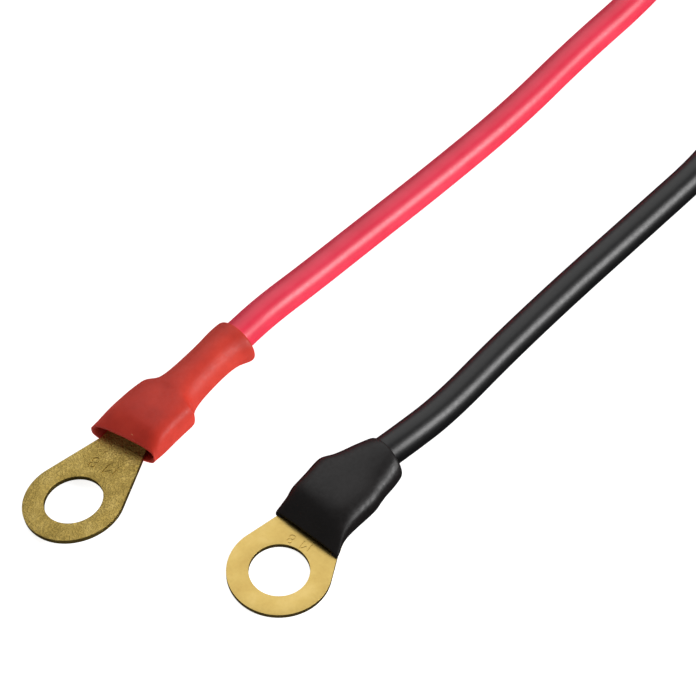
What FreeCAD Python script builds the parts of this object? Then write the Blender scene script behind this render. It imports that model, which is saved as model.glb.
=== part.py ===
import FreeCAD, Part
import math
import os
from FreeCAD import Matrix, Placement, Rotation, Vector

# A pair of solar leads. Each one is a stranded copper cable with a brass ring terminal
# under heat-shrink on one end and a single-pole photovoltaic connector on the other.
# Millimetres. +Z is up from the surface that the leads lie on, +Y runs along the leads
# away from the rings. The origin is the centre of the black lead's stud hole, at the
# underside of its ring.

# ---------------------------------------------------------------- driving dimensions
CABLE_D = 4.8
CABLE_R = CABLE_D / 2
CONDUCTOR_R = 1.45

STUD_HOLE_R = 4.25
RING_R = 7.35
PLATE_T = 0.7
NECK_TAPER = 19.5
NECK_END = 11.2
BARREL_START = 12.8
BARREL_END = 21.6
BARREL_W = 7.6
BARREL_H = 3.8
BARREL_WALL = 0.9
BARREL_LIFT = 0.75
SLEEVE_WALL = 0.6

BLACK_YAW = 10.5
BLACK_SKEW = -12.0
RED_YAW = 6.6
RED_SKEW = -6.5
RED_HOLE_X = -28.35
RED_HOLE_Y = -11.5
RED_LEAN_X = -0.19
RED_LEAN_Y = -0.03

# The put-away length of both leads is wound together into one long hank.
HANK_X = -13.2
HANK_NEAR = 149.0
HANK_RUN = 46.0
HANK_FAR = HANK_NEAR + HANK_RUN
BLACK_FOLD_R = 14.6
RED_FOLD_R = 19.6
TURN_PITCH = 4.8
LAPS = 2
TIE_T = 1.0
TIE_W = 3.6
HANK_BASE = TIE_T
HANK_TOP = HANK_BASE + LAPS * TURN_PITCH
TAIL_Z = HANK_TOP + CABLE_R

# Photovoltaic connector: distances along its axis start at the rear face of the housing.
PLUG_AT = Vector(-7.0, 265.0, 9.1)
SOCKET_AT = Vector(-26.8, 246.0, 9.1)
THREAD_R = 6.4
THREAD_LEN = 11.0
GLAND_R = 4.9
GLAND_LEN = 9.4
CONTACT_BORE_R = 3.05
CONTACT_R = 3.0
COLLAR_R = 3.5
FLANGE_R = 9.1
FLANGE_LEN = 2.2
BODY_R = 8.1
BODY_END = 25.0
PLUG_MOUTH_END = 42.0
PLUG_SLEEVE_R = 6.0
PLUG_CAVITY_R = 4.1
PLUG_CAVITY_START = 26.0
PIN_R = 2.0
PIN_TIP = 38.5
SOCKET_NOSE_R = 3.9
SOCKET_NOSE_END = 43.5
SOCKET_ROOT_R = 4.4
SOCKET_ROOT_END = 28.0
O_RING_R = 0.8
SHELL_END = 35.0
SHELL_HALF_X = 9.1
SHELL_HALF_Z = 7.2
SHELL_BORE_R = 6.4
LATCH_ROOT = 24.8
LATCH_ROOT_R = 0.85
LATCH_TIP = 41.0
LATCH_INNER = 7.0
LATCH_OUTER = 8.3
LATCH_HALF_Z = 2.4
NUT_REAR = -9.0
NUT_FRONT = 9.6
NUT_R = 9.0
NUT_HOLE_R = 3.2
RUNNING_GAP = 0.1
INSULATION_END = 9.4
CONTACT_START = 10.0


def save(name, shape):
    """Writes one sub-part, after checking that it is sound closed solids."""
    if not shape.isValid() or not shape.Solids:
        raise ValueError(name + " is not a valid solid")
    if shape.ShapeType == "Compound" and len(shape.Solids) == 1:
        shape = shape.Solids[0]
    box = shape.optimalBoundingBox()
    print(
        f"{name:24s} solids {len(shape.Solids)} volume {shape.Volume:9.1f}"
        f" x {box.XMin:7.2f} {box.XMax:7.2f} y {box.YMin:7.2f} {box.YMax:7.2f}"
        f" z {box.ZMin:6.2f} {box.ZMax:6.2f}"
    )
    shape.exportStep(os.path.join("parts", name + ".step"))


def disc_wire(radius, centre, normal):
    return Part.Wire([Part.makeCircle(radius, centre, normal)])


# ---------------------------------------------------------------- cable routes
def arc_radius(before, corner, after):
    """The largest tangent arc that both runs beside a corner leave room for."""
    run_in = corner - before
    run_out = after - corner
    turn = run_in.getAngle(run_out)
    return 0.45 * min(run_in.Length, run_out.Length) / math.tan(turn / 2)


def rounded_path(points):
    """Straight runs joined by tangent arcs, with the length and the radii used."""
    edges, radii = [], []
    start = points[0]
    for before, corner, after in zip(points, points[1:], points[2:]):
        to_corner = (corner - before).normalize()
        from_corner = (after - corner).normalize()
        turn = to_corner.getAngle(from_corner)
        radius = arc_radius(before, corner, after)
        setback = radius * math.tan(turn / 2)
        arc_start = corner - to_corner * setback
        arc_end = corner + from_corner * setback
        inward = (from_corner - to_corner).normalize()
        centre = corner + inward * (radius / math.cos(turn / 2))
        middle = centre - inward * radius
        edges.append(Part.LineSegment(start, arc_start).toShape())
        edges.append(Part.Arc(arc_start, middle, arc_end).toShape())
        radii.append(round(radius, 1))
        start = arc_end
    edges.append(Part.LineSegment(start, points[-1]).toShape())
    return Part.Wire(edges), radii


def tube(name, points, radius):
    """A round cable swept along its route."""
    path, radii = rounded_path(points)
    profile = disc_wire(radius, points[0], points[1] - points[0])
    solid = path.makePipeShell([profile], True, False)
    wanted = math.pi * radius**2 * path.Length
    print(f"{name}: length {path.Length:.1f} radii {radii} volume ratio {solid.Volume / wanted:.4f}")
    return solid


def hank_ring(fold_radius, base, top):
    """The outer shape of one lead's laps: a flat-sided ring with a half turn at each end."""

    def slab(radius):
        near = Part.makeCylinder(radius, top - base, Vector(HANK_X, HANK_NEAR, base))
        far = Part.makeCylinder(radius, top - base, Vector(HANK_X, HANK_FAR, base))
        middle = Part.makeBox(
            2 * radius, HANK_RUN, top - base, Vector(HANK_X - radius, HANK_NEAR, base)
        )
        return near.fuse([middle, far]).removeSplitter()

    return slab(fold_radius + CABLE_R).cut(slab(fold_radius - CABLE_R))


# ---------------------------------------------------------------- ring terminals
def oval_wire(width, height, centre_z, at_y):
    """A flattened circle, as a crimped barrel is, standing across the Y axis."""
    half_flat = (width - height) / 2
    r = height / 2
    top = centre_z + r
    bottom = centre_z - r
    left_top = Vector(-half_flat, at_y, top)
    right_top = Vector(half_flat, at_y, top)
    right_bottom = Vector(half_flat, at_y, bottom)
    left_bottom = Vector(-half_flat, at_y, bottom)
    return Part.Wire(
        [
            Part.LineSegment(left_top, right_top).toShape(),
            Part.Arc(right_top, Vector(half_flat + r, at_y, centre_z), right_bottom).toShape(),
            Part.LineSegment(right_bottom, left_bottom).toShape(),
            Part.Arc(left_bottom, Vector(-half_flat - r, at_y, centre_z), left_top).toShape(),
        ]
    )


def oval_bar(width, height, centre_z, start, end):
    face = Part.Face(oval_wire(width, height, centre_z, start))
    return face.extrude(Vector(0, end - start, 0))


def strip_wire(half_width, low, high, at_y):
    corners = [
        Vector(-half_width, at_y, low),
        Vector(half_width, at_y, low),
        Vector(half_width, at_y, high),
        Vector(-half_width, at_y, high),
    ]
    return Part.makePolygon(corners + corners[:1])


def skewed(shape, skew):
    """Turns the barrel in the plane of the ring, about the end of the neck."""
    turned = shape.copy()
    turned.rotate(Vector(0, NECK_END, 0), Vector(0, 0, 1), skew)
    return turned


def neck_half_width(at_y):
    taper = math.radians(NECK_TAPER)
    return RING_R / math.cos(taper) - at_y * math.tan(taper)


def terminal(skew):
    """The brass ring terminal, flat ring at the origin and barrel along +Y."""
    taper = math.radians(NECK_TAPER)
    tangent = Vector(RING_R * math.cos(taper), RING_R * math.sin(taper), 0)
    mirrored = Vector(-tangent.x, tangent.y, 0)
    right = Vector(neck_half_width(NECK_END), NECK_END, 0)
    left = Vector(-right.x, NECK_END, 0)
    outline = Part.Wire(
        [
            Part.Arc(tangent, Vector(0, -RING_R, 0), mirrored).toShape(),
            Part.LineSegment(mirrored, left).toShape(),
            Part.LineSegment(left, right).toShape(),
            Part.LineSegment(right, tangent).toShape(),
        ]
    )
    plate = Part.Face(outline).extrude(Vector(0, 0, PLATE_T))
    plate = plate.cut(Part.makeCylinder(STUD_HOLE_R, 3 * PLATE_T, Vector(0, 0, -PLATE_T)))
    flat = strip_wire(right.x, 0, PLATE_T, NECK_END)
    raised_top = BARREL_LIFT + BARREL_WALL
    raised = skewed(
        strip_wire(BARREL_W / 2 - 1.2, BARREL_LIFT, raised_top, BARREL_START + 0.5), skew
    )
    joggle = Part.makeLoft([flat, raised], True, True)
    middle_z = BARREL_LIFT + BARREL_H / 2
    barrel = oval_bar(BARREL_W, BARREL_H, middle_z, BARREL_START, BARREL_END)
    bore = oval_bar(
        BARREL_W - 2 * BARREL_WALL,
        BARREL_H - 2 * BARREL_WALL,
        middle_z,
        BARREL_START - 1,
        BARREL_END + 1,
    )
    return plate.fuse([joggle, skewed(barrel, skew)]).cut(skewed(bore, skew)).removeSplitter()


def terminal_strands(skew):
    """The stripped end of the conductor, squeezed to the shape of the barrel's bore."""
    bundle = oval_bar(
        BARREL_W - 2 * BARREL_WALL,
        BARREL_H - 2 * BARREL_WALL,
        BARREL_LIFT + BARREL_H / 2,
        BARREL_START - 0.8,
        BARREL_END + 0.4,
    )
    return skewed(bundle, skew)


def black_placement():
    return Placement(Vector(0, 0, 0), Rotation(Vector(0, 0, 1), BLACK_YAW))


def red_placement():
    """Leans the red ring so that one edge of it touches the surface."""
    normal = Vector(
        RED_LEAN_X, RED_LEAN_Y, math.sqrt(1 - RED_LEAN_X**2 - RED_LEAN_Y**2)
    )
    ahead = (Vector(0, 1, 0) - normal * normal.y).normalize()
    across = ahead.cross(normal)
    height = RING_R * math.hypot(RED_LEAN_X, RED_LEAN_Y)
    lean = Matrix(
        across.x, ahead.x, normal.x, RED_HOLE_X,
        across.y, ahead.y, normal.y, RED_HOLE_Y,
        across.z, ahead.z, normal.z, height,
        0, 0, 0, 1,
    )
    return Placement(lean).multiply(Placement(Vector(0, 0, 0), Rotation(Vector(0, 0, 1), RED_YAW)))


def barrel_end(placement, skew):
    """Where the cable's jacket starts, behind the barrel."""
    turn = Rotation(Vector(0, 0, 1), skew)
    local = Vector(0, BARREL_END + 0.4 - NECK_END, BARREL_LIFT + BARREL_H / 2)
    return placement.multVec(turn.multVec(local) + Vector(0, NECK_END, 0))


# ---------------------------------------------------------------- heat-shrink sleeves
def section(centre, half_width, half_height, roll, slant):
    """An ellipse across the Y axis, rolled about it and slanted about Z."""
    roll = math.radians(roll)
    slant = math.radians(slant)
    across = Vector(math.cos(roll) * math.cos(slant), math.sin(slant), math.sin(roll))
    up = Vector(-math.sin(roll), 0, math.cos(roll))
    major = centre + across * half_width
    minor = centre + up * half_height
    return Part.Wire([Part.Ellipse(major, minor, centre).toShape()])


def sleeve(sections, contents):
    """A shrunk tube through the sections of its outside, open at both ends."""

    def body(inset):
        wires = []
        for x, y, z, half_width, half_height, roll, slant in sections:
            centre = Vector(x, y, z)
            wires.append(section(centre, half_width - inset, half_height - inset, roll, slant))
        lengths = [Part.makeLoft(list(pair), True, True) for pair in zip(wires, wires[1:])]
        return lengths[0].fuse(lengths[1:])

    return body(0).cut(body(SLEEVE_WALL)).cut(contents)


# x, y, z of the middle, half width, half height, roll about +Y, slant about +Z.
BLACK_SLEEVE = [
    (-1.3, 7.1, 1.2, 5.7, 1.15, 0, 1.5),
    (-1.6, 9.9, 2.6, 5.4, 2.56, 0, 0),
    (-1.7, 16.2, 2.8, 5.4, 2.7, 0, 0),
    (-1.45, 19.2, 2.95, 4.55, 2.85, 0, 0),
    (-1.6, 22.2, 3.15, 3.75, 3.05, 0, 0),
    (-1.7, 24.2, 3.2, 3.4, 3.1, 0, 0),
]
RED_SLEEVE = [
    (-29.5, -0.6, 2.75, 5.9, 1.8, 11, 6.0),
    (-29.3, 2.2, 3.85, 5.5, 2.75, 11, 0),
    (-29.3, 8.4, 4.3, 5.0, 2.9, 8, 0),
    (-29.7, 11.0, 4.45, 3.95, 3.1, 4, 0),
    (-29.75, 15.0, 4.4, 3.3, 3.1, 0, 0),
    (-29.95, 20.5, 4.12, 3.35, 3.2, 0, 0),
    (-29.9, 23.7, 3.8, 3.75, 3.5, 0, 0),
]


# ---------------------------------------------------------------- cable routes, by hand
def black_route(start):
    return [
        start,
        Vector(-1.05, 26.6, 2.9),
        Vector(-0.55, 35.0, 2.5),
        Vector(-1.35, 48.0, 2.4),
        Vector(-1.65, 62.0, 2.42),
        Vector(-1.6, 79.0, 2.4),
        Vector(-1.55, 98.0, 2.4),
        Vector(-5.45, 109.5, 2.4),
        Vector(-14.2, 119.0, 2.4),
        Vector(-23.4, 128.0, 2.45),
        Vector(HANK_X - BLACK_FOLD_R, 139.4, 3.0),
        Vector(HANK_X - BLACK_FOLD_R, HANK_NEAR + 1.0, HANK_BASE + CABLE_R),
    ]


def red_route(start):
    return [
        start,
        Vector(-29.85, 16.6, 4.4),
        Vector(-30.15, 22.5, 3.95),
        Vector(-30.95, 30.0, 3.0),
        Vector(-30.65, 39.0, 2.5),
        Vector(-30.2, 51.0, 2.45),
        Vector(-29.55, 66.0, 2.4),
        Vector(-29.25, 83.0, 2.4),
        Vector(-30.3, 99.0, 2.4),
        Vector(-30.5, 116.0, 2.4),
        Vector(HANK_X - RED_FOLD_R - 0.1, 132.0, 2.8),
        Vector(HANK_X - RED_FOLD_R, HANK_NEAR - 4.0, HANK_BASE + CABLE_R),
    ]


def black_tail_route():
    x = HANK_X - BLACK_FOLD_R
    return [
        Vector(x, HANK_NEAR, TAIL_Z - 1.8),
        Vector(x, HANK_NEAR + 16.0, TAIL_Z),
        Vector(x - 0.1, 183.0, TAIL_Z + 0.05),
        Vector(x + 0.4, 203.0, TAIL_Z),
        Vector(-24.8, 217.0, TAIL_Z - 0.1),
        Vector(-15.6, 230.5, 11.2),
        Vector(-8.6, 243.0, 9.7),
        Vector(PLUG_AT.x, 252.5, PLUG_AT.z + 0.05),
        Vector(PLUG_AT.x, 258.5, PLUG_AT.z),
        PLUG_AT + Vector(0, INSULATION_END, 0),
    ]


def red_tail_route():
    x = HANK_X - RED_FOLD_R
    return [
        Vector(x, HANK_NEAR, TAIL_Z - 1.8),
        Vector(x, HANK_NEAR + 16.0, TAIL_Z),
        Vector(x - 0.1, 181.0, TAIL_Z + 0.05),
        Vector(x, 198.0, TAIL_Z),
        Vector(-32.3, 212.5, TAIL_Z - 0.1),
        Vector(-28.5, 223.0, 10.7),
        Vector(SOCKET_AT.x, 232.8, SOCKET_AT.z + 0.1),
        Vector(SOCKET_AT.x, 239.2, SOCKET_AT.z),
        SOCKET_AT + Vector(0, INSULATION_END, 0),
    ]


# ---------------------------------------------------------------- cable ties
def tie(middle_x, at_y, inner_width, inner_top, head_side):
    """A nylon cable tie round the bundle, its head on the side that head_side points to."""
    band_width = inner_width + 2 * TIE_T
    outer = Part.makeBox(
        band_width, TIE_W, inner_top + TIE_T, Vector(middle_x - band_width / 2, at_y, 0)
    )
    corners = [edge for edge in outer.Edges if abs(edge.tangentAt(0).y) > 0.9]
    outer = outer.makeFillet(1.6, corners)
    inner = Part.makeBox(
        inner_width, TIE_W, inner_top - TIE_T, Vector(middle_x - inner_width / 2, at_y, TIE_T)
    )
    head_x = middle_x + head_side * (inner_width / 2 - 2.6)
    head = Part.makeBox(5.0, 5.6, 3.6, Vector(head_x - 2.5, at_y - 1.0, inner_top + 0.3))
    end_x = head_x + head_side * 2.0 if head_side > 0 else head_x - 2.0 - 7.0
    end = Part.makeBox(7.0, TIE_W, TIE_T, Vector(end_x, at_y, inner_top + 1.9))
    return outer.cut(inner).fuse([head, end]).cut(inner).removeSplitter()


# ---------------------------------------------------------------- photovoltaic connectors
def along(shape, place):
    """Moves a shape drawn along +Y from the origin to the connector's place."""
    moved = shape.copy()
    moved.translate(place)
    return moved


def rod(radius, start, end):
    return Part.makeCylinder(radius, end - start, Vector(0, start, 0), Vector(0, 1, 0))


def cone(start_radius, end_radius, start, end):
    return Part.makeCone(
        start_radius, end_radius, end - start, Vector(0, start, 0), Vector(0, 1, 0)
    )


def block(half_x, half_z, start, end, centre_x=0.0):
    return Part.makeBox(
        2 * half_x, end - start, 2 * half_z, Vector(centre_x - half_x, start, -half_z)
    )


def housing_rear():
    """The threaded spigot, the flange and the round body that both housings share."""
    flange_end = THREAD_LEN + FLANGE_LEN
    spigot = rod(THREAD_R, 0, THREAD_LEN)
    flange = rod(FLANGE_R, THREAD_LEN, flange_end)
    body = rod(BODY_R, flange_end, BODY_END)
    shoulder = cone(BODY_R, PLUG_SLEEVE_R, BODY_END, BODY_END + 2)
    return spigot.fuse([flange, body, shoulder])


def bored(housing):
    """Opens the gland pocket, the crimp space and the contact's bore."""
    gland = rod(GLAND_R, -1, GLAND_LEN)
    collar = rod(COLLAR_R + 0.05, GLAND_LEN, 21.0)
    return housing.cut(gland.fuse([collar, rod(CONTACT_BORE_R, 21.0, PLUG_CAVITY_START)]))


def plug_housing():
    housing = housing_rear().fuse(rod(PLUG_SLEEVE_R, BODY_END, PLUG_MOUTH_END))
    housing = bored(housing).cut(rod(PLUG_CAVITY_R, PLUG_CAVITY_START, PLUG_MOUTH_END + 1))
    for side in (-1, 1):
        seat = Part.makeCylinder(
            LATCH_ROOT_R + 0.06, 2 * LATCH_HALF_Z + 0.3, latch_axis(side, LATCH_HALF_Z + 0.15)
        )
        pocket = block(1.9, LATCH_HALF_Z + 0.15, LATCH_ROOT, LATCH_ROOT + 5, side * 8.2)
        housing = housing.cut(seat.fuse(pocket))
    return housing.removeSplitter()


def latch_axis(side, depth):
    """The lower end of the line that a snap arm flexes about."""
    return Vector(side * (LATCH_INNER + LATCH_OUTER) / 2, LATCH_ROOT, -depth)


def latch_arm(side):
    """One snap arm: a round root that it flexes about, a leaf, and a barb at its tip."""
    middle = (LATCH_INNER + LATCH_OUTER) / 2
    root = Part.makeCylinder(LATCH_ROOT_R, 2 * LATCH_HALF_Z, latch_axis(side, LATCH_HALF_Z))
    thickness = LATCH_OUTER - LATCH_INNER
    leaf = block(thickness / 2, LATCH_HALF_Z, LATCH_ROOT, LATCH_TIP, side * middle)
    barb_profile = Part.makePolygon(
        [
            Vector(side * LATCH_OUTER, LATCH_TIP, -LATCH_HALF_Z),
            Vector(side * (LATCH_OUTER + 1.1), LATCH_TIP - 3.4, -LATCH_HALF_Z),
            Vector(side * LATCH_OUTER, LATCH_TIP - 3.7, -LATCH_HALF_Z),
            Vector(side * (LATCH_OUTER - 0.6), LATCH_TIP - 3.7, -LATCH_HALF_Z),
            Vector(side * (LATCH_OUTER - 0.6), LATCH_TIP, -LATCH_HALF_Z),
            Vector(side * LATCH_OUTER, LATCH_TIP, -LATCH_HALF_Z),
        ]
    )
    barb = Part.Face(barb_profile).extrude(Vector(0, 0, 2 * LATCH_HALF_Z))
    return leaf.fuse([root, barb]).removeSplitter()


def socket_housing():
    nose = rod(SOCKET_NOSE_R, BODY_END, SOCKET_NOSE_END)
    nose = nose.fuse(rod(SOCKET_ROOT_R, BODY_END, SOCKET_ROOT_END))
    housing = housing_rear().fuse(nose)
    corner = 4.6
    shell = block(SHELL_HALF_X, SHELL_HALF_Z, BODY_END - 3, SHELL_END)
    edges = [edge for edge in shell.Edges if abs(edge.tangentAt(0).y) > 0.9]
    shell = shell.makeFillet(corner, edges)
    hollow = rod(SHELL_BORE_R, BODY_END + 1, SHELL_END + 1)
    channel = block(8.45, LATCH_HALF_Z + 0.25, BODY_END + 1, SHELL_END + 1)
    windows = block(12.0, LATCH_HALF_Z + 0.25, BODY_END + 2.0, BODY_END + 6.2)
    housing = housing.fuse(shell).cut(hollow.fuse([channel, windows])).fuse(nose)
    housing = bored(housing).cut(rod(CONTACT_BORE_R, PLUG_CAVITY_START, SOCKET_NOSE_END - 1.0))
    return housing.cut(rod(2.25, SOCKET_NOSE_END - 2, SOCKET_NOSE_END + 1)).removeSplitter()


def crimp_rear():
    """The crimp barrel and retaining collar that both contacts share."""
    barrel = rod(2.2, CONTACT_START, 19.0)
    collar = rod(COLLAR_R, 19.0, 20.9)
    return barrel.fuse([collar, rod(CONTACT_R, 20.9, 25.9)])


def plug_contact():
    pin = rod(PIN_R, 25.0, PIN_TIP - 1.2)
    tip = cone(PIN_R, 1.0, PIN_TIP - 1.2, PIN_TIP)
    bore = rod(CONDUCTOR_R, CONTACT_START - 1, 18.0)
    return crimp_rear().fuse([pin, tip]).cut(bore).removeSplitter()


def socket_contact():
    barrel = rod(CONTACT_R, 25.0, SOCKET_NOSE_END - 1.1)
    bore = rod(CONDUCTOR_R, CONTACT_START - 1, 18.0)
    mating = rod(2.05, 28.0, SOCKET_NOSE_END)
    groove = rod(2.45, 31.0, 39.0)
    shape = crimp_rear().fuse(barrel).cut(bore)
    return shape.cut(mating.fuse(groove)).removeSplitter()


def contact_spring():
    """The louvred ring that grips the pin inside the socket contact."""
    ring = rod(2.43, 31.1, 38.9).cut(rod(2.16, 31.0, 39.0))
    slots = []
    for index in range(10):
        slot = block(0.3, 3.0, 32.6, 37.4)
        slot.translate(Vector(0, 0, 3.0))
        slot.rotate(Vector(0, 0, 0), Vector(0, 1, 0), index * 36)
        slots.append(slot)
    return ring.cut(slots[0].fuse(slots[1:]))


def nose_o_ring():
    centre = Vector(0, BODY_END + 1.9, 0)
    return Part.makeTorus(SOCKET_ROOT_R + O_RING_R, O_RING_R, centre, Vector(0, 1, 0))


def contact_strands():
    return rod(CONDUCTOR_R, INSULATION_END, 17.8)


def cable_seal():
    """The rubber sleeve that the clamp cage presses round the cable."""
    outer = rod(GLAND_R - 0.05, 4.1, 9.0)
    groove = rod(GLAND_R, 6.1, 7.0).cut(rod(GLAND_R - 0.7, 6.1, 7.0))
    return outer.cut(groove).cut(rod(CABLE_R, 4.0, 9.1))


def clamp_cage():
    """The plastic fingers that the cap nut closes on the cable."""
    collar = rod(GLAND_R - RUNNING_GAP, -0.9, 3.9)
    stop = rod(5.75, -1.6, -0.2)
    fingers = cone(4.3, 5.5, -6.6, -1.5)
    cage = collar.fuse([stop, fingers]).cut(rod(CABLE_R + 0.3, -8, 5))
    slots = []
    for index in range(6):
        slot = block(0.45, 4.0, -8.0, -2.2)
        slot.translate(Vector(0, 0, 4.0))
        slot.rotate(Vector(0, 0, 0), Vector(0, 1, 0), index * 60)
        slots.append(slot)
    return cage.cut(slots[0].fuse(slots[1:])).removeSplitter()


def cap_nut():
    """The fluted nut: a thread pocket in front, a closing cone, and the cable hole."""
    barrel = rod(NUT_R, NUT_REAR + 3.0, NUT_FRONT)
    dome = cone(6.6, NUT_R, NUT_REAR, NUT_REAR + 3.0)
    nut = barrel.fuse(dome)
    flutes = []
    for index in range(12):
        flute = rod(1.5, NUT_REAR - 1, NUT_FRONT - 3.5)
        flute.translate(Vector(NUT_R + 0.85, 0, 0))
        flute.rotate(Vector(0, 0, 0), Vector(0, 1, 0), index * 30)
        flutes.append(flute)
    nut = nut.cut(flutes[0].fuse(flutes[1:]))
    pocket = rod(THREAD_R + RUNNING_GAP, -1.75, NUT_FRONT + 1)
    closing = cone(4.45, 5.75, -6.75, -1.75)
    return nut.cut(pocket.fuse([closing, rod(NUT_HOLE_R, NUT_REAR - 1, -6.0)])).removeSplitter()


# ---------------------------------------------------------------- the assembly
def leads():
    """Both leads from the ring terminals to the ends of their tails."""
    fold_radii = {"black": BLACK_FOLD_R, "red": RED_FOLD_R}
    rings = {colour: hank_ring(radius, HANK_BASE, HANK_TOP) for colour, radius in fold_radii.items()}
    trims = {colour: hank_ring(radius, -HANK_BASE, HANK_TOP) for colour, radius in fold_radii.items()}
    places = {"black": (black_placement(), BLACK_SKEW), "red": (red_placement(), RED_SKEW)}
    routes = {"black": black_route, "red": red_route}
    tails = {"black": black_tail_route(), "red": red_tail_route()}
    sleeves = {"black": BLACK_SLEEVE, "red": RED_SLEEVE}
    cables = {}
    for colour, (place, skew) in places.items():
        brass = terminal(skew)
        brass.Placement = place.multiply(brass.Placement)
        strands = terminal_strands(skew)
        strands.Placement = place.multiply(strands.Placement)
        run = tube(colour + "_cable", routes[colour](barrel_end(place, skew)), CABLE_R)
        strands = strands.cut(run)
        filled = brass.fuse([strands, run])
        save(colour + "_ring_terminal", brass)
        save(colour + "_terminal_strands", strands)
        save(colour + "_heat_shrink", sleeve(sleeves[colour], filled))
        tail = tube(colour + "_cable_tail", tails[colour], CABLE_R)
        save(colour + "_cable_tail", tail.cut(trims[colour]))
        cables[colour] = run.cut(trims[colour])
        save(colour + "_cable", cables[colour])
    save("black_cable_hank", rings["black"])
    save("red_cable_hank", rings["red"].cut(cables["black"]))
    hank_half = (RED_FOLD_R - BLACK_FOLD_R) / 2 + CABLE_R
    middle_r = (RED_FOLD_R + BLACK_FOLD_R) / 2
    tie_y = (HANK_NEAR + HANK_FAR) / 2
    tail_top = HANK_TOP + 2 * CABLE_R + 0.1
    save("hank_tie_left", tie(HANK_X - middle_r, tie_y, 2 * hank_half + 0.1, tail_top, 1))
    save("hank_tie_right", tie(HANK_X + middle_r, tie_y, 2 * hank_half + 0.1, HANK_TOP, -1))


def connectors():
    """The plug on the black lead and the socket on the red one."""
    plug = {
        "plug_housing": plug_housing(),
        "plug_latch_left": latch_arm(-1),
        "plug_latch_right": latch_arm(1),
        "plug_pin_contact": plug_contact(),
    }
    socket = {
        "socket_housing": socket_housing(),
        "socket_contact": socket_contact(),
        "socket_contact_spring": contact_spring(),
        "socket_nose_seal": nose_o_ring(),
    }
    for prefix, pieces, place in (("plug", plug, PLUG_AT), ("socket", socket, SOCKET_AT)):
        pieces[prefix + "_contact_strands"] = contact_strands()
        pieces[prefix + "_cable_seal"] = cable_seal()
        pieces[prefix + "_clamp_cage"] = clamp_cage()
        pieces[prefix + "_cap_nut"] = cap_nut()
        for name, shape in pieces.items():
            save(name, along(shape, place))


os.makedirs("parts", exist_ok=True)
leads()
connectors()
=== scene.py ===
import math

import bmesh
import bpy
from mathutils import Matrix, Vector


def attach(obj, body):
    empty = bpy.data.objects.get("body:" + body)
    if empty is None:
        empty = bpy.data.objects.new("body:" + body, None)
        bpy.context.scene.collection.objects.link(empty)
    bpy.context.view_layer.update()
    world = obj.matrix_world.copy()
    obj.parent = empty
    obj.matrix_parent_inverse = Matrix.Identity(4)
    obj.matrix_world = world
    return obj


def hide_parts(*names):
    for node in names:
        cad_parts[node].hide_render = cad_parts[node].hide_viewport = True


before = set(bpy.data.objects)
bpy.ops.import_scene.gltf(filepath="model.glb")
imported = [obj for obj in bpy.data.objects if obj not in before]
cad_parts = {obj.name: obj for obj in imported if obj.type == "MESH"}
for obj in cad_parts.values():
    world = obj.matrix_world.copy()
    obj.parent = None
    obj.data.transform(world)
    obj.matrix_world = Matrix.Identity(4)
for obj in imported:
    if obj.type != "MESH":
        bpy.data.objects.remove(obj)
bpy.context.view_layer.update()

# A pair of solar leads: brass ring terminals under heat-shrink, round cables wound
# together into a tied hank, and a photovoltaic plug and socket. Sizes, routes and tables
# are in millimetres. The finished pieces, the camera, the lights and the floor are in metres.
MM = 0.001

# ---------------------------------------------------------------- sizes
CABLE_R = 2.4
PLATE_T = 0.7
RING_R = 7.35
STUD_HOLE_R = 4.25
RING_MIDDLE_R = (RING_R + STUD_HOLE_R) / 2
RING_EDGE_ROUNDING = 0.11
NECK_TAPER = math.radians(19.5)
NECK_END = 11.2
NECK_MARGIN = 0.1        # past the neck's end, where the turn of the barrel begins
BARREL_START = 14.0
BARREL_END = 21.6
BARREL_LIFT = 0.75
BARREL_EDGE_ROUNDING = 0.15
BARREL_HALF_W = 3.8
BARREL_HALF_H = 1.9      # of the CAD's barrel: the cable starts at the height of its middle
CRIMPED_HALF_H = 1.6     # of the barrel made here, pressed lower to stay under its sleeve
BARREL_WALL = 0.9
JACKET_GAP = 0.4         # from the barrel's end to the cable's jacket
# How far each barrel is turned in the plane of its ring, in degrees.
BLACK_SKEW = -12.0
RED_SKEW = -6.5

HANK_X = -13.2
HANK_NEAR = 149.0
HANK_FAR = 195.0
HANK_BASE = 1.0
TURN_PITCH = 4.8
LAPS = 2
HALF_TURN_POINTS = 6
# How much of one layer a lap has climbed at each point of its near bend.
CLIMB = (0.0, 0.12, 0.5, 0.95, 1.0, 1.0)
BLACK_FOLD_R = 14.6
RED_FOLD_R = 19.6
TAIL_Z = HANK_BASE + LAPS * TURN_PITCH + CABLE_R
PLUG_AT = Vector((-7.0, 265.0, 9.1))
SOCKET_AT = Vector((-26.8, 246.0, 9.1))
CABLE_STRIPPED_AT = 9.4


# ---------------------------------------------------------------- small tools
def deselect():
    bpy.ops.object.select_all(action="DESELECT")


def activate(piece):
    deselect()
    piece.select_set(True)
    bpy.context.view_layer.objects.active = piece


def new_piece(name):
    """Names the primitive that was just added."""
    piece = bpy.context.object
    piece.name = name
    piece.data.name = name
    return piece


def select_where(piece, kind, wanted):
    """In edit mode, selects the vertices, edges or faces that a test accepts."""
    mesh = bmesh.from_edit_mesh(piece.data)
    bpy.ops.mesh.select_all(action="DESELECT")
    bpy.ops.mesh.select_mode(type={"verts": "VERT", "edges": "EDGE", "faces": "FACE"}[kind])
    for item in getattr(mesh, kind):
        item.select_set(bool(wanted(item)))
    mesh.select_flush_mode()
    bmesh.update_edit_mesh(piece.data)


def apply_modifier(piece, kind, **settings):
    activate(piece)
    modifier = piece.modifiers.new(kind.title(), kind)
    for name, value in settings.items():
        setattr(modifier, name, value)
    bpy.ops.object.modifier_apply(modifier=modifier.name)


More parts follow.
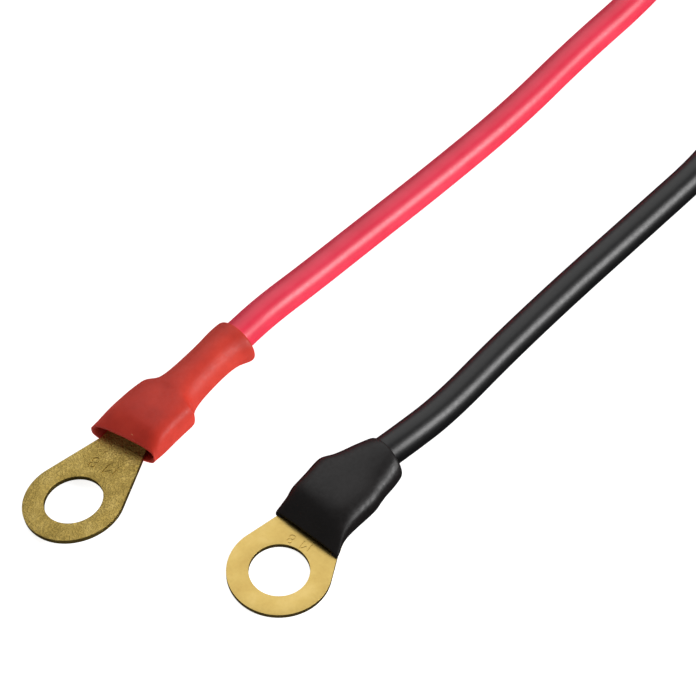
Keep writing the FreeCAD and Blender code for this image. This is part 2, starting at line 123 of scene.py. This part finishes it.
def set_place(piece, matrix=None):
    """Puts the piece's place in its mesh, in metres, and leaves its object at the origin."""
    activate(piece)
    bpy.ops.object.transform_apply(location=True, rotation=True, scale=True)
    piece.data.transform(Matrix.Scale(MM, 4) @ (matrix or Matrix()))
    piece.data.update()


def smooth(piece, angle=35):
    activate(piece)
    bpy.ops.object.shade_smooth_by_angle(angle=math.radians(angle))


def finish(piece, slot, material, *nodes):
    """Gives the piece its material, and puts it on the leads in place of CAD nodes."""
    piece.data.materials.clear()
    piece.data.materials.append(material)
    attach(piece, "leads")
    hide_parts(*nodes)


# ---------------------------------------------------------------- materials
def colour(code):
    """An sRGB hex colour as Blender's linear one."""
    parts = [int(code[i:i + 2], 16) / 255 for i in (1, 3, 5)]
    return tuple(p / 12.92 if p <= 0.04045 else ((p + 0.055) / 1.055) ** 2.4 for p in parts) + (1.0,)


def add(material, kind, settings=None, links=None):
    """Adds a node with its settings and links, and returns it."""
    node = material.node_tree.nodes.new(kind)
    for name, value in (settings or {}).items():
        if name in node.inputs.keys():
            node.inputs[name].default_value = value
        else:
            setattr(node, name, value)
    for name, socket in (links or {}).items():
        material.node_tree.links.new(socket, node.inputs[name])
    return node


def new_material(name, **shader):
    """A material whose shader holds what is the same all over."""
    material = bpy.data.materials.new(name)
    material.use_nodes = True
    material.node_tree.nodes.clear()
    surface = add(material, "ShaderNodeBsdfPrincipled", shader)
    add(material, "ShaderNodeOutputMaterial", None, {"Surface": surface.outputs["BSDF"]})
    place = add(material, "ShaderNodeTexCoord").outputs["Object"]
    return material, surface, place


def link(material, output, surface, name):
    material.node_tree.links.new(output, surface.inputs[name])


def speckle(material, place, spacing_mm, detail=2.0, stretch=(1, 1, 1)):
    """Noise whose blotches are spacing_mm apart."""
    mapping = add(material, "ShaderNodeMapping", {"Scale": stretch}, {"Vector": place})
    settings = {"Scale": 1000.0 / spacing_mm, "Detail": detail, "Roughness": 0.55}
    return add(material, "ShaderNodeTexNoise", settings, {"Vector": mapping.outputs["Vector"]}).outputs["Fac"]


def ramp(material, factor, stops):
    """A colour ramp through (position, hex colour or grey level) stops."""
    node = add(material, "ShaderNodeValToRGB", None, {"Fac": factor})
    elements = node.color_ramp.elements
    while len(elements) < len(stops):
        elements.new(0.5)
    for element, (position, value) in zip(elements, stops):
        element.position = position
        element.color = colour(value) if isinstance(value, str) else (value, value, value, 1.0)
    return node.outputs["Color"]


def vary(material, surface, name, factor, *stops):
    """Drives one input of the shader from a factor through (position, value) stops."""
    link(material, ramp(material, factor, stops), surface, name)


def bump(material, height, depth_mm, surface, strength=1.0, under=None):
    """Raises the surface by depth_mm where the height is one."""
    links = {"Height": height}
    if under is not None:
        links["Normal"] = under
    node = add(material, "ShaderNodeBump", {"Strength": strength, "Distance": depth_mm * MM}, links)
    link(material, node.outputs["Normal"], surface, "Normal")
    return node.outputs["Normal"]


def rolled_brass():
    """Rolled brass sheet, stamped, with light tarnish: warm pale gold, soft broad gloss."""
    material, surface, place = new_material("rolled_brass_sheet", Metallic=1.0)
    tarnish = speckle(material, place, 3.2, 5.0)
    vary(material, surface, "Base Color", tarnish, (0.30, "#C9AA61"), (0.52, "#D2B56A"), (0.75, "#DBBF77"))
    grain = speckle(material, place, 0.35, 3.0)
    vary(material, surface, "Roughness", grain, (0.3, 0.30), (0.7, 0.40))
    rolled = speckle(material, place, 0.9, 3.0, (1.0, 0.15, 1.0))
    under = bump(material, rolled, 0.010, surface)
    bump(material, grain, 0.006, surface, under=under)
    return material


def pitted_brass():
    """The same sheet, pickled and handled: darker olive gold with fine pits."""
    material, surface, place = new_material("pickled_pitted_brass", Metallic=1.0)
    tarnish = speckle(material, place, 2.6, 6.0)
    vary(material, surface, "Base Color", tarnish, (0.32, "#A08846"), (0.5, "#B69C54"), (0.72, "#CBB167"))
    grain = speckle(material, place, 0.22, 3.0)
    vary(material, surface, "Roughness", grain, (0.3, 0.26), (0.7, 0.44))
    pits = ramp(material, speckle(material, place, 0.28, 4.0), [(0.38, 0.0), (0.55, 1.0)])
    under = bump(material, pits, 0.028, surface)
    bump(material, speckle(material, place, 0.8, 3.0), 0.02, surface, under=under)
    return material


def heat_shrink(name, low, middle, high, roughness, grit_mm):
    """Shrunk polyolefin: dyed through, a dull skin with slight draw marks along it."""
    material, surface, place = new_material(name, IOR=1.42)
    shade = speckle(material, place, 4.0, 4.0)
    vary(material, surface, "Base Color", shade, (0.3, low), (0.5, middle), (0.72, high))
    skin = speckle(material, place, grit_mm, 4.0)
    vary(material, surface, "Roughness", skin, (0.3, roughness - 0.06), (0.7, roughness + 0.08))
    drawn = speckle(material, place, 1.6, 3.0, (1.0, 0.3, 1.0))
    under = bump(material, drawn, 0.05, surface)
    bump(material, skin, 0.012, surface, under=under)
    return material


def jacket(name, low, middle, high, roughness):
    """Extruded PVC cable jacket: a slick skin with long, faint waves from the die."""
    material, surface, place = new_material(name, IOR=1.53)
    shade = speckle(material, place, 9.0, 3.0)
    vary(material, surface, "Base Color", shade, (0.3, low), (0.5, middle), (0.7, high))
    skin = speckle(material, place, 0.6, 3.0)
    vary(material, surface, "Roughness", skin, (0.3, roughness), (0.7, roughness + 0.07))
    waves = speckle(material, place, 3.0, 2.0, (1.0, 0.25, 1.0))
    under = bump(material, waves, 0.035, surface)
    bump(material, skin, 0.003, surface, under=under)
    return material


def moulded_housing():
    """Glass-filled nylon, moulded: near black, a fine spark-eroded texture that catches light."""
    material, surface, place = new_material("glass_filled_nylon", IOR=1.53)
    shade = speckle(material, place, 6.0, 3.0)
    vary(material, surface, "Base Color", shade, (0.3, "#17171A"), (0.7, "#232327"))
    eroded = speckle(material, place, 0.25, 4.0)
    vary(material, surface, "Roughness", eroded, (0.3, 0.40), (0.7, 0.58))
    bump(material, eroded, 0.02, surface)
    return material


def tie_nylon():
    """Unfilled nylon strip: black, smooth, slightly waxy."""
    material, surface, place = new_material("tie_strap_nylon", IOR=1.53)
    shade = speckle(material, place, 2.0, 3.0)
    vary(material, surface, "Base Color", shade, (0.3, "#1B1B1D"), (0.7, "#29292C"))
    vary(material, surface, "Roughness", shade, (0.3, 0.30), (0.7, 0.42))
    bump(material, speckle(material, place, 0.7, 2.0), 0.01, surface)
    return material


def seal_silicone():
    """Moulded silicone: grey, soft sheen, holds dust."""
    material, surface, place = new_material("moulded_silicone", IOR=1.41)
    dust = speckle(material, place, 1.2, 4.0)
    vary(material, surface, "Base Color", dust, (0.35, "#54585C"), (0.7, "#777C80"))
    vary(material, surface, "Roughness", dust, (0.3, 0.45), (0.7, 0.65))
    bump(material, dust, 0.015, surface)
    return material


def tinned_contact():
    """Turned copper, tin plated: pale grey with faint turning marks round it."""
    material, surface, place = new_material("tin_plated_copper", Metallic=1.0)
    turned = speckle(material, place, 0.5, 2.0, (0.1, 1.0, 0.1))
    vary(material, surface, "Base Color", turned, (0.3, "#B9B8B4"), (0.7, "#DAD9D5"))
    vary(material, surface, "Roughness", turned, (0.3, 0.22), (0.7, 0.36))
    bump(material, turned, 0.004, surface)
    return material


def bare_strands():
    """Bunched bare copper wires: bright salmon, in fine ridges along the lay, with painted shade in the
    grooves between the wires.
    """
    material, surface, place = new_material("stranded_bare_copper", Metallic=1.0, Roughness=0.3)
    lay = speckle(material, place, 0.4, 1.0, (1.0, 0.08, 1.0))
    # painted shade: the lay that raises the ridges also turns the copper dark brown in the low grooves
    # between the wires
    vary(material, surface, "Base Color", lay, (0.35, "#9C5230"), (0.65, "#E39A70"))
    bump(material, lay, 0.06, surface)
    return material


def lit_paper():
    """Seamless paper, overexposed white, which glossy surfaces see as an unlit room."""
    lit = {
        "Base Color": colour("#F4F4F4"),
        "Roughness": 0.9,
        "Emission Color": (1.0, 1.0, 1.0, 1.0),
        "Emission Strength": 0.8,
    }
    material, surface, place = new_material("seamless_paper", **lit)
    bump(material, speckle(material, place, 0.5, 2.0), 0.01, surface)
    rays = add(material, "ShaderNodeLightPath")
    dark = add(material, "ShaderNodeBsdfDiffuse", {"Color": (0.04, 0.04, 0.04, 1.0)})
    mix = add(material, "ShaderNodeMixShader", None, {"Fac": rays.outputs["Is Glossy Ray"]})
    material.node_tree.links.new(surface.outputs["BSDF"], mix.inputs[1])
    material.node_tree.links.new(dark.outputs["BSDF"], mix.inputs[2])
    output = next(node for node in material.node_tree.nodes if node.type == "OUTPUT_MATERIAL")
    material.node_tree.links.new(mix.outputs["Shader"], output.inputs["Surface"])
    return material


BRASS_LIGHT = rolled_brass()
BRASS_DARK = pitted_brass()
SLEEVE_BLACK = heat_shrink("shrunk_polyolefin_black", "#0B0808", "#110D0D", "#161212", 0.4, 0.5)
SLEEVE_RED = heat_shrink("shrunk_polyolefin_red", "#C32E1D", "#D03321", "#DA3B28", 0.5, 0.45)
CABLE_BLACK = jacket("pvc_jacket_black", "#050506", "#080809", "#0C0C0D", 0.34)
CABLE_RED = jacket("pvc_jacket_red", "#E32644", "#EC2E4C", "#F23A57", 0.34)
HOUSING = moulded_housing()
NYLON = tie_nylon()
SILICONE = seal_silicone()
TINNED = tinned_contact()
COPPER = bare_strands()

# ---------------------------------------------------------------- camera
TARGET = Vector((-0.019142, 0.034896, 0.0))
AZIMUTH = math.radians(42.5)
ELEVATION = math.radians(53.3)
DISTANCE = 0.503
LENS = 180
SENSOR_WIDTH = 36


def make_camera():
    level = math.cos(ELEVATION)
    back = Vector((level * math.sin(AZIMUTH), -level * math.cos(AZIMUTH), math.sin(ELEVATION)))
    data = bpy.data.cameras.new("camera")
    data.lens = LENS
    data.sensor_width = SENSOR_WIDTH
    data.clip_start = 0.02
    camera = bpy.data.objects.new("camera", data)
    camera.location = TARGET + back * DISTANCE
    camera.rotation_euler = (-back).to_track_quat("-Z", "Y").to_euler()
    bpy.context.collection.objects.link(camera)
    bpy.context.scene.camera = camera


make_camera()


# ---------------------------------------------------------------- lug places
# Turns in degrees, the place of the red ring, and its lean as the x and y of its normal.
BLACK_TURN = 10.5
RED_TURN = 6.6
RED_RING_AT = (-28.35, -11.5)
RED_LEAN = (-0.19, -0.03)


def black_place():
    """The black ring lies flat, with its stud hole at the origin."""
    return Matrix.Rotation(math.radians(BLACK_TURN), 4, "Z")


def red_place():
    """The red ring leans on one edge: its normal, then its turn about that normal."""
    lean_x, lean_y = RED_LEAN
    normal = Vector((lean_x, lean_y, math.sqrt(1 - lean_x**2 - lean_y**2)))
    ahead = (Vector((0, 1, 0)) - normal * normal.y).normalized()
    across = ahead.cross(normal)
    height = RING_R * math.hypot(lean_x, lean_y)
    lean = Matrix((across, ahead, normal)).transposed().to_4x4()
    lean.translation = Vector((*RED_RING_AT, height))
    return lean @ Matrix.Rotation(math.radians(RED_TURN), 4, "Z")


def barrel_turn(skew):
    """Turns the barrel in the plane of the ring, about the end of the neck."""
    pivot = Matrix.Translation((0, NECK_END, 0))
    return pivot @ Matrix.Rotation(math.radians(skew), 4, "Z") @ pivot.inverted()


def barrel_end(place, skew):
    """Where the cable's jacket starts, behind the barrel."""
    return place @ barrel_turn(skew) @ Vector((0, BARREL_END + JACKET_GAP, BARREL_LIFT + BARREL_HALF_H))


# ---------------------------------------------------------------- cords
def black_lead_route():
    x = HANK_X - BLACK_FOLD_R
    return [
        barrel_end(black_place(), BLACK_SKEW),
        Vector((-1.05, 26.6, 2.9)),
        Vector((-0.55, 35.0, 2.5)),
        Vector((-1.35, 48.0, 2.4)),
        Vector((-1.65, 62.0, 2.42)),
        Vector((-1.6, 79.0, 2.4)),
        Vector((-1.55, 98.0, 2.4)),
        Vector((-5.45, 109.5, 2.4)),
        Vector((-14.2, 119.0, 2.4)),
        Vector((-23.4, 128.0, 2.45)),
        Vector((x, 139.4, 3.0)),
        Vector((x, HANK_NEAR + 1.0, HANK_BASE + CABLE_R)),
    ]


def red_lead_route():
    x = HANK_X - RED_FOLD_R
    return [
        barrel_end(red_place(), RED_SKEW),
        Vector((-29.85, 16.6, 4.4)),
        Vector((-30.15, 22.5, 3.95)),
        Vector((-30.95, 30.0, 3.0)),
        Vector((-30.65, 39.0, 2.5)),
        Vector((-30.2, 51.0, 2.45)),
        Vector((-29.55, 66.0, 2.4)),
        Vector((-29.25, 83.0, 2.4)),
        Vector((-30.3, 99.0, 2.4)),
        Vector((-30.5, 116.0, 2.4)),
        Vector((x - 0.1, 132.0, 2.8)),
        Vector((x, HANK_NEAR - 4.0, HANK_BASE + CABLE_R)),
    ]


def black_tail_route():
    x = HANK_X - BLACK_FOLD_R
    return [
        Vector((x, HANK_NEAR + 16.0, TAIL_Z)),
        Vector((x - 0.1, 183.0, TAIL_Z + 0.05)),
        Vector((x + 0.4, 203.0, TAIL_Z)),
        Vector((-24.8, 217.0, TAIL_Z - 0.1)),
        Vector((-15.6, 230.5, 11.2)),
        Vector((-8.6, 243.0, 9.7)),
        Vector((PLUG_AT.x, 252.5, PLUG_AT.z + 0.05)),
        Vector((PLUG_AT.x, 258.5, PLUG_AT.z)),
        PLUG_AT + Vector((0, CABLE_STRIPPED_AT, 0)),
    ]


def red_tail_route():
    x = HANK_X - RED_FOLD_R
    return [
        Vector((x, HANK_NEAR + 16.0, TAIL_Z)),
        Vector((x - 0.1, 181.0, TAIL_Z + 0.05)),
        Vector((x, 198.0, TAIL_Z)),
        Vector((-32.3, 212.5, TAIL_Z - 0.1)),
        Vector((-28.5, 223.0, 10.7)),
        Vector((SOCKET_AT.x, 232.8, SOCKET_AT.z + 0.1)),
        Vector((SOCKET_AT.x, 239.2, SOCKET_AT.z)),
        SOCKET_AT + Vector((0, CABLE_STRIPPED_AT, 0)),
    ]


def hank_laps(fold_radius):
    """Clockwise laps round the two bends, each lap ending one layer higher than it starts."""
    step = math.pi / HALF_TURN_POINTS
    radius = fold_radius / math.cos(step / 2)
    points = []
    for lap in range(LAPS):
        low = HANK_BASE + CABLE_R + lap * TURN_PITCH
        for index in range(2 * HALF_TURN_POINTS):
            angle = math.pi - step * (index + 0.5)
            far = index < HALF_TURN_POINTS
            middle_y = HANK_FAR if far else HANK_NEAR
            climbed = 0.0 if far else CLIMB[index - HALF_TURN_POINTS]
            x = HANK_X + radius * math.cos(angle)
            y = middle_y + radius * math.sin(angle)
            points.append(Vector((x, y, low + climbed * TURN_PITCH)))
    return points


def make_cord(name, points):
    """A round cable along a smooth line with these points as its control points."""
    data = bpy.data.curves.new(name, "CURVE")
    data.dimensions = "3D"
    data.resolution_u = 10
    data.bevel_depth = CABLE_R * MM
    data.bevel_resolution = 10
    data.use_fill_caps = True
    spline = data.splines.new("NURBS")
    spline.points.add(len(points) - 1)
    for target, point in zip(spline.points, points):
        target.co = (*(point * MM), 1.0)
    spline.order_u = 3
    spline.use_endpoint_u = True
    piece = bpy.data.objects.new(name, data)
    bpy.context.collection.objects.link(piece)
    return piece


black_lead = make_cord("black_lead", black_lead_route() + hank_laps(BLACK_FOLD_R) + black_tail_route())
finish(black_lead, "cable_black", CABLE_BLACK, "black_cable", "black_cable_hank", "black_cable_tail")
red_lead = make_cord("red_lead", red_lead_route() + hank_laps(RED_FOLD_R) + red_tail_route())
finish(red_lead, "cable_red", CABLE_RED, "red_cable", "red_cable_hank", "red_cable_tail")


# ---------------------------------------------------------------- ring terminals
# Each step of the joggle: how far it rises, how far it goes ahead, how much it narrows.
JOGGLE = ((0.06, 0.5, 1.0), (0.31, 0.8, 0.94), (0.32, 0.8, 0.94), (0.06, 0.8, 1.0))
RING_POINTS = 120
TOLERANCE = 0.01


def start_ring(name):
    """The ring, a circle widened inwards to the stud hole. It is left in edit mode."""
    deselect()
    bpy.ops.mesh.primitive_circle_add(vertices=RING_POINTS, radius=RING_R, fill_type="NOTHING")
    piece = new_piece(name)
    bpy.ops.object.mode_set(mode="EDIT")
    bpy.ops.mesh.select_all(action="SELECT")
    for inner, outer in ((RING_MIDDLE_R, RING_R), (STUD_HOLE_R, RING_MIDDLE_R)):
        bpy.ops.mesh.extrude_region_move()
        factor = inner / outer
        bpy.ops.transform.resize(value=(factor, factor, 1), center_override=(0, 0, 0))
    return piece


def pull_out_neck(piece):
    """The far side of the rim, pulled out flat along its two tangents to the neck's end."""
    tangent_y = RING_R * math.sin(NECK_TAPER) - TOLERANCE
    select_where(
        piece,
        "edges",
        lambda edge: all(v.co.y >= tangent_y and v.co.length > RING_R - TOLERANCE for v in edge.verts),
    )
    neck_half = RING_R / math.cos(NECK_TAPER) - NECK_END * math.tan(NECK_TAPER)
    rim_half = RING_R * math.cos(NECK_TAPER)
    bpy.ops.mesh.extrude_region_move()
    bpy.ops.transform.resize(value=(neck_half / rim_half, 0, 1), center_override=(0, NECK_END, 0))


def raise_joggle():
    """The neck's end, stepped up to the floor of the barrel."""
    for rise, ahead, narrow in JOGGLE:
        bpy.ops.mesh.extrude_region_move()
        bpy.ops.transform.translate(value=(0, ahead, rise))
        bpy.ops.transform.resize(value=(narrow, 1, 1), center_override=(0, 0, 0))


def bevel(piece, width, segments):
    """Rounds the sharp edges and leaves the curved faces alone."""
    limit = math.radians(50)
    apply_modifier(piece, "BEVEL", width=width, segments=segments, limit_method="ANGLE", angle_limit=limit)


def make_terminal(name, place, skew, mark_at, mark_size):
    """The stamped ring, its neck drawn up into the flattened barrel, and the size mark."""
    piece = start_ring(name)
    pull_out_neck(piece)
    raise_joggle()
    bpy.ops.mesh.select_all(action="SELECT")
    bpy.ops.mesh.normals_make_consistent(inside=False)
    bpy.ops.object.mode_set(mode="OBJECT")
    up = sum(polygon.normal.z for polygon in piece.data.polygons) > 0
    apply_modifier(piece, "SOLIDIFY", thickness=PLATE_T, offset=1.0 if up else -1.0)
    turn_neck(piece, skew)
    bevel(piece, RING_EDGE_ROUNDING, 3)
    stamp(piece, mark_at, mark_size)
    barrel = make_barrel(skew)
    activate(piece)
    barrel.select_set(True)
    bpy.ops.object.join()
    smooth(piece, 40)
    set_place(piece, place)
    return piece


def turn_neck(piece, skew):
    """Turns what lies past the neck's end, so that the joggle meets the skewed barrel."""
    for vertex in piece.data.vertices:
        if vertex.co.y > NECK_END + NECK_MARGIN:
            share = min(1.0, (vertex.co.y - NECK_END) / (BARREL_START - NECK_END))
            vertex.co = barrel_turn(skew * share) @ vertex.co


def make_barrel(skew):
    """The crimped barrel: an open cylinder flattened to an oval, with a real wall."""
    deselect()
    bpy.ops.mesh.primitive_cylinder_add(
        vertices=64,
        radius=1,
        depth=BARREL_END - BARREL_START,
        end_fill_type="NOTHING",
        rotation=(math.pi / 2, 0, 0),
    )
    barrel = new_piece("barrel")
    bpy.ops.object.transform_apply(rotation=True)
    bpy.ops.object.mode_set(mode="EDIT")
    bpy.ops.mesh.select_all(action="SELECT")
    bpy.ops.transform.resize(value=(BARREL_HALF_W, 1, CRIMPED_HALF_H), center_override=(0, 0, 0))
    middle = (BARREL_START + BARREL_END) / 2
    bpy.ops.transform.translate(value=(0, middle, BARREL_LIFT + CRIMPED_HALF_H))
    bpy.ops.object.mode_set(mode="OBJECT")
    apply_modifier(barrel, "SOLIDIFY", thickness=BARREL_WALL, offset=-1.0)
    bevel(barrel, BARREL_EDGE_ROUNDING, 2)
    barrel.data.transform(barrel_turn(skew))
    return barrel


STAMP_SPACING = 1.8
STAMP_THINNING = -0.02
STAMP_DEPTH = 0.08


def stamp(piece, mark_at, mark_size):
    """Presses a generic stud size into the neck, read from the barrel's side."""
    deselect()
    bpy.ops.object.text_add(location=(0, 0, 0))
    text = bpy.context.object
    text.data.body = "M8"
    text.data.align_x = "CENTER"
    text.data.align_y = "CENTER"
    text.data.size = mark_size
    text.data.space_character = STAMP_SPACING
    text.data.offset = STAMP_THINNING
    text.data.extrude = STAMP_DEPTH
    bpy.ops.object.convert(target="MESH")
    mark = bpy.context.object
    mark.data.transform(Matrix.Translation((0, mark_at, PLATE_T)) @ Matrix.Rotation(math.pi, 4, "Z"))
    activate(piece)
    cut = piece.modifiers.new("Stamp", "BOOLEAN")
    cut.object = mark
    cut.operation = "DIFFERENCE"
    cut.solver = "EXACT"
    bpy.ops.object.modifier_apply(modifier=cut.name)
    bpy.data.objects.remove(mark)


black_lug = make_terminal("black_lug", black_place(), BLACK_SKEW, mark_at=5.25, mark_size=2.3)
finish(black_lug, "brass_light", BRASS_LIGHT, "black_ring_terminal")
red_lug = make_terminal("red_lug", red_place(), RED_SKEW, mark_at=6.9, mark_size=2.9)
finish(red_lug, "brass_dark", BRASS_DARK, "red_ring_terminal")

# ---------------------------------------------------------------- heat-shrink sleeves
# Each row: x, y, z of the middle, half width, half height, squareness, then roll and slant
# in degrees.
BLACK_SECTIONS = [
    (-1.1, 6.5, 0.85, 5.75, 0.8, 3.2, 0, 1.5),
    (-1.15, 7.2, 1.1, 5.68, 1.05, 3.2, 0, 1.3),
    (-1.3, 8.1, 1.65, 5.45, 1.6, 3.1, 0, 0.7),
    (-1.4, 8.9, 2.05, 5.32, 2.0, 3.0, 0, 0),
    (-1.64, 9.8, 2.35, 5.42, 2.3, 2.9, 0, 0),
    (-1.62, 11.3, 2.6, 5.38, 2.55, 2.9, 0, 0),
    (-1.65, 13.2, 2.7, 5.45, 2.65, 2.9, 0, 0),
    (-1.78, 15.3, 2.75, 5.62, 2.7, 2.9, 0, 0),
    (-1.75, 16.3, 2.78, 5.5, 2.7, 2.8, 0, 0),
    (-1.45, 17.2, 2.82, 5.0, 2.7, 2.6, 0, -2),
    (-1.25, 18.7, 2.9, 4.6, 2.75, 2.4, 0, -4),
    (-1.0, 20.2, 3.0, 4.3, 2.85, 2.3, 0, -6),
    (-0.8, 21.6, 3.05, 3.95, 2.95, 2.1, 0, -7),
    (-0.7, 22.9, 3.1, 3.55, 3.0, 2.0, 0, -8),
]
RED_SECTIONS = [
    (-29.6, -0.65, 2.85, 6.0, 1.85, 2.9, 11, 6.3),
    (-29.5, 0.4, 3.2, 5.8, 2.25, 3.0, 11, 4.0),
    (-29.35, 1.8, 3.7, 5.5, 2.7, 3.2, 11, 1.0),
    (-29.32, 3.5, 3.95, 5.34, 2.8, 3.3, 11, 0),
    (-29.34, 5.6, 4.1, 5.22, 2.85, 3.3, 10, 0),
    (-29.25, 7.4, 4.2, 5.08, 2.85, 3.3, 9, 0),
    (-29.15, 8.3, 4.3, 4.98, 2.85, 3.2, 8, 0),
    (-29.0, 8.8, 4.35, 4.65, 2.85, 2.9, 6, 0),
    (-29.1, 9.25, 4.4, 4.0, 2.9, 2.5, 4, 0),
    (-29.2, 10.1, 4.42, 3.5, 2.95, 2.2, 3, 0),
    (-29.4, 12.0, 4.45, 3.2, 3.0, 2.0, 1, 0),
    (-29.65, 15.0, 4.4, 3.05, 3.0, 2.0, 0, 0),
    (-29.9, 18.0, 4.3, 3.02, 3.0, 2.0, 0, 0),
    (-30.1, 20.5, 4.12, 3.22, 3.15, 2.0, 0, 0),
    (-29.9, 21.9, 3.95, 3.5, 3.35, 2.0, 0, 0),
    (-29.75, 23.0, 3.8, 3.7, 3.5, 2.0, 0, 0),
]
SLEEVE_POINTS = 40


def centre_ring(piece):
    """Centres the selected ring, so that its vertices keep their order round the sleeve."""
    mesh = bmesh.from_edit_mesh(piece.data)
    ring = [v for v in mesh.verts if v.select]
    middle = sum((v.co for v in ring), Vector()) / len(ring)
    for vertex in ring:
        vertex.co -= middle


def shape_ring(piece, section):
    """Gives the selected ring of vertices the outline of one section of a sleeve."""
    x, y, z, half_width, half_height, squareness, roll, slant = section
    roll = math.radians(roll)
    slant = math.radians(slant)
    mesh = bmesh.from_edit_mesh(piece.data)
    ring = sorted((v for v in mesh.verts if v.select), key=lambda v: math.atan2(v.co.z, v.co.x))
    for index, vertex in enumerate(ring):
        angle = -math.pi + 2 * math.pi * (index + 0.5) / len(ring)
        cos, sin = math.cos(angle), math.sin(angle)
        side = math.copysign(abs(cos) ** (2 / squareness), cos) * half_width
        rise = math.copysign(abs(sin) ** (2 / squareness), sin) * half_height
        vertex.co.x = x + side * math.cos(roll) * math.cos(slant) - rise * math.sin(roll)
        vertex.co.y = y + side * math.sin(slant)
        vertex.co.z = z + side * math.sin(roll) + rise * math.cos(roll)
    bmesh.update_edit_mesh(piece.data)


def make_sleeve(name, sections, wall):
    """A tube extruded ring by ring along its sections, given a wall and smoothed."""
    deselect()
    bpy.ops.mesh.primitive_circle_add(
        vertices=SLEEVE_POINTS, radius=1, fill_type="NOTHING", rotation=(math.pi / 2, 0, 0)
    )
    piece = new_piece(name)
    bpy.ops.object.transform_apply(rotation=True)
    bpy.ops.object.mode_set(mode="EDIT")
    bpy.ops.mesh.select_all(action="SELECT")
    for index, section in enumerate(sections):
        if index:
            bpy.ops.mesh.extrude_region_move()
            centre_ring(piece)
        shape_ring(piece, section)
    bpy.ops.mesh.select_all(action="SELECT")
    bpy.ops.mesh.normals_make_consistent(inside=False)
    bpy.ops.object.mode_set(mode="OBJECT")
    apply_modifier(piece, "SOLIDIFY", thickness=wall, offset=-1.0, use_even_offset=True)
    apply_modifier(piece, "SUBSURF", levels=2, render_levels=2)
    smooth(piece, 60)
    set_place(piece)
    return piece


black_sleeve = make_sleeve("black_sleeve", BLACK_SECTIONS, wall=0.5)
finish(black_sleeve, "sleeve_black", SLEEVE_BLACK, "black_heat_shrink")
red_sleeve = make_sleeve("red_sleeve", RED_SECTIONS, wall=0.55)
finish(red_sleeve, "sleeve_red", SLEEVE_RED, "red_heat_shrink")

# ---------------------------------------------------------------- connectors and ties
NODE_FINISHES = {
    "black_terminal_strands": COPPER,
    "red_terminal_strands": COPPER,
    "plug_housing": HOUSING,
    "plug_latch_left": HOUSING,
    "plug_latch_right": HOUSING,
    "plug_pin_contact": TINNED,
    "plug_contact_strands": COPPER,
    "plug_cable_seal": SILICONE,
    "plug_clamp_cage": HOUSING,
    "plug_cap_nut": HOUSING,
    "socket_housing": HOUSING,
    "socket_contact": TINNED,
    "socket_contact_spring": TINNED,
    "socket_nose_seal": SILICONE,
    "socket_contact_strands": COPPER,
    "socket_cable_seal": SILICONE,
    "socket_clamp_cage": HOUSING,
    "socket_cap_nut": HOUSING,
    "hank_tie_left": NYLON,
    "hank_tie_right": NYLON,
}
for node, material in NODE_FINISHES.items():
    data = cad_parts[node].data
    data.materials.clear()
    data.materials.append(material)


# ---------------------------------------------------------------- floor and light
FLOOR_SIZE = 6.0
FLOOR_GAP = 0.00005


def make_floor():
    """The paper, a hair below what rests on it."""
    deselect()
    bpy.ops.mesh.primitive_plane_add(size=FLOOR_SIZE, location=(0, 0, 0))
    floor = new_piece("floor")
    floor.location.z = -FLOOR_GAP
    floor.data.materials.append(lit_paper())


def make_light(name, direction, distance, size, power):
    """A square softbox at a distance in a direction from the leads, facing them."""
    data = bpy.data.lights.new(name, "AREA")
    data.size = size
    data.energy = power
    light = bpy.data.objects.new(name, data)
    light.location = TARGET + Vector(direction).normalized() * distance
    light.rotation_euler = Vector(direction).to_track_quat("Z", "Y").to_euler()
    bpy.context.collection.objects.link(light)


def make_world():
    world = bpy.data.worlds.new("studio")
    world.use_nodes = True
    background = world.node_tree.nodes["Background"]
    background.inputs["Color"].default_value = (1.0, 1.0, 1.0, 1.0)
    background.inputs["Strength"].default_value = 0.2
    bpy.context.scene.world = world


make_floor()
make_world()
# the key from the right and ahead draws the long highlight down each cable
make_light("key_right", (0.79, 0.44, 0.43), 1.2, 0.58, 12)
# the broad one over the far end lights the brass and the second, fainter highlight
make_light("overhead_far", (-0.48, 0.42, 0.77), 1.2, 1.4, 6.6)
bpy.context.scene.view_settings.view_transform = "Standard"
